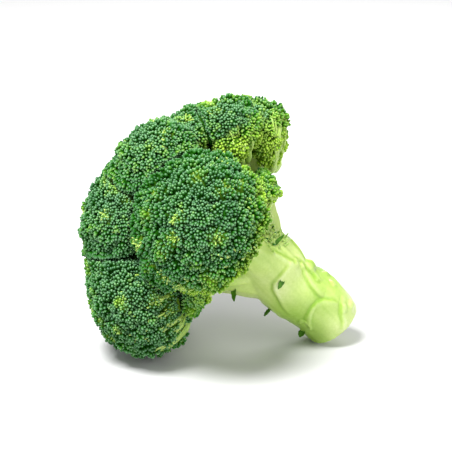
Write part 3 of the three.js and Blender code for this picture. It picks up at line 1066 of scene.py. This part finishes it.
def make_litter(skin):
    """Broken flower stalks and loose buds on the stem's skin, by the front floret's rim."""
    places = np.array([v.co for v in skin.data.vertices]) / MM
    normals = np.array([v.normal for v in skin.data.vertices])
    height, _, angle = around_stem(places)
    turn = np.degrees(angle)

    def random_spot():
        """A random spot of the littered part of the skin, and the skin's normal there."""
        wanted_height, wanted_turn = rng.uniform(*LITTER_HEIGHTS), rng.uniform(*LITTER_TURNS)
        at = np.hypot(height - wanted_height, (turn - wanted_turn) * TURN_LENGTH).argmin()
        return places[at], normals[at]

    tubes = TubeSet()
    for _ in range(BROKEN_STALKS):
        spot, normal = random_spot()
        lean = unit(normal + 0.9 * rng.normal(0, 1, 3) + 0.6 * stem_axis)
        end = spot + lean * rng.uniform(*BROKEN_LENGTHS)
        tubes.add(curve_between(spot - normal * 0.6, spot + normal * 1.2, end), BROKEN_RADII)
    vertices = TEMPLATE[0]
    buds = []
    for _ in range(LOOSE_BUDS):
        spot, normal = random_spot()
        lean = unit(normal * 0.5 + rng.normal(0, 1, 3))
        side = unit(np.cross(lean, normal))
        up = np.cross(lean, side)
        axes = np.array([side * LOOSE_RADIUS, up * LOOSE_RADIUS, lean * LOOSE_LENGTH])
        buds.append(spot + normal * 0.5 + vertices @ axes)
    tones = LOOSE_TONE + 0.05 * np.tile(vertices[:, 0], len(buds))
    loose = bud_object("loose_buds", np.array(buds), tones)
    return tubes.finish("broken_stalks", paleness=1.0), loose


# ---- Leaves ----


def make_leaf(name):
    """A curled, pointed blade with a thick midrib, laid along its CAD solid."""
    places, _ = mesh_arrays(nodes[name])
    centre = places.mean(0)
    _, axes = np.linalg.eigh(np.cov((places - centre).T))
    along, side = axes[:, 2], axes[:, 1]
    spread = (places - centre) @ along
    length = np.ptp(spread)
    ends = (places[spread.argmin()], places[spread.argmax()])
    near, far = (np.linalg.norm(np.cross(end - cut_centre, stem_axis)) for end in ends)
    if near > far:
        along = -along
    face = np.cross(along, side)
    _, from_axis, _ = around_stem(centre[None])
    centre = centre + unit(from_axis[0]) * LEAF_LIFT
    width = np.ptp((places - centre) @ side)
    grid, veins = [], []
    for sheet in (1, -1):
        for row in range(LEAF_ROWS + 1):
            share = row / LEAF_ROWS
            outline = max(ROOT_WIDTH * (1 - share), math.sin(math.pi * share**0.9), TIP_WIDTH)
            half = width / 2 * outline**0.6
            for column in range(LEAF_COLUMNS + 1):
                place = 2 * column / LEAF_COLUMNS - 1
                ruffle = LEAF_RUFFLE * math.sin(share * 19 + column) * abs(place)
                lift = LEAF_CUP * width * place**2 + LEAF_CURL * length * share**2 + ruffle
                rib = math.exp(-((place / RIB_WIDTH) ** 2))
                thick = LEAF_THICKNESS + RIB_THICKNESS * rib * (1 - share)
                forward = length * (LEAF_STRETCH * share - LEAF_ROOT)
                point = centre + along * (forward + 0.12 * math.sin(column * 2.1))
                point = point + side * (half * place) + face * (lift - 0.2 * width)
                grid.append(point + face * sheet * thick)
                veins.append(0.5 * rib * (1 - 0.6 * share))
    across = LEAF_COLUMNS + 1
    layer = (LEAF_ROWS + 1) * across
    faces = []
    for row in range(LEAF_ROWS):
        for column in range(LEAF_COLUMNS):
            a = row * across + column
            b, c, d = a + 1, a + across + 1, a + across
            faces.append((a, b, c, d))
            faces.append((layer + a, layer + d, layer + c, layer + b))
    border = list(range(across))
    border += [row * across + LEAF_COLUMNS for row in range(1, LEAF_ROWS + 1)]
    border += [LEAF_ROWS * across + column for column in range(LEAF_COLUMNS - 1, -1, -1)]
    border += [row * across for row in range(LEAF_ROWS - 1, 0, -1)]
    for here, after in zip(border, border[1:] + border[:1]):
        faces.append((here, layer + here, layer + after, after))
    obj = make_object(name + "_blade", grid, [], faces, LEAF)
    add_attribute(obj, "vein", veins)
    return obj


# ---- Build the head ----


def add_piece(piece):
    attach(piece, "root")


florets = [Floret(name) for name in sorted(nodes) if name.startswith("floret_")]
for floret in florets:
    floret.grow(florets)
    buds, patches = make_buds(floret)
    add_piece(buds)
    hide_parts(floret.name)
    add_piece(make_core(floret, patches))
    add_piece(make_stems(floret, patches))

stalk = make_stalk()
add_piece(stalk)
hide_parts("stalk")
broken, loose = make_litter(stalk)
add_piece(broken)
add_piece(loose)

for name in sorted(nodes):
    if name.startswith("leaf_"):
        blade = make_leaf(name)
        add_piece(blade)
        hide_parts(name)


# ---- Floor, light and camera ----


def make_floor():
    """A wide matt floor, grey under the head as painted shade, and nearly white further away."""
    material, tree, shader = new_material("floor")
    distance = tree.nodes.new("ShaderNodeVectorMath")
    distance.operation = "LENGTH"
    tree.links.new(object_place(tree), distance.inputs[0])
    # grey near the middle: painted shade under the head, which also throws less light back up onto
    # it
    colour = ramp(tree, [(0.25, grey(0.62)), (0.9, grey(0.96))], distance.outputs["Value"])
    tree.links.new(colour, shader.inputs["Base Color"])
    shader.inputs["Roughness"].default_value = 0.9
    half = 3000
    corners = [(-half, -half, 0), (half, -half, 0), (half, half, 0), (-half, half, 0)]
    make_object("floor", corners, [], [(0, 1, 2, 3)], material)


def make_light():
    """An even white surrounding and three soft round lamps."""
    world = bpy.data.worlds.new("studio")
    world.use_nodes = True
    background = world.node_tree.nodes["Background"]
    background.inputs["Color"].default_value = (1, 1, 1, 1)
    background.inputs["Strength"].default_value = WORLD_STRENGTH
    bpy.context.scene.world = world
    for name, place, diameter, power in LAMPS:
        light = bpy.data.lights.new(name, "AREA")
        light.shape = "DISK"
        light.size = diameter
        light.energy = power
        lamp = add_object(name, light)
        lamp.location = place
        lamp.rotation_euler = (Vector(LAMP_AIM) - Vector(place)).to_track_quat("-Z", "Y").to_euler()


def make_camera():
    camera = bpy.data.cameras.new("camera")
    camera.lens = CAMERA_LENS
    obj = add_object("camera", camera)
    elevation = math.radians(CAMERA_ELEVATION)
    back = Vector((0, -math.cos(elevation), math.sin(elevation)))
    obj.location = Vector(CAMERA_AIM) + back * CAMERA_DISTANCE
    obj.rotation_euler = (math.pi / 2 - elevation, 0, 0)
    bpy.context.scene.camera = obj


make_floor()
make_light()
make_camera()
bpy.context.scene.view_settings.view_transform = "Standard"
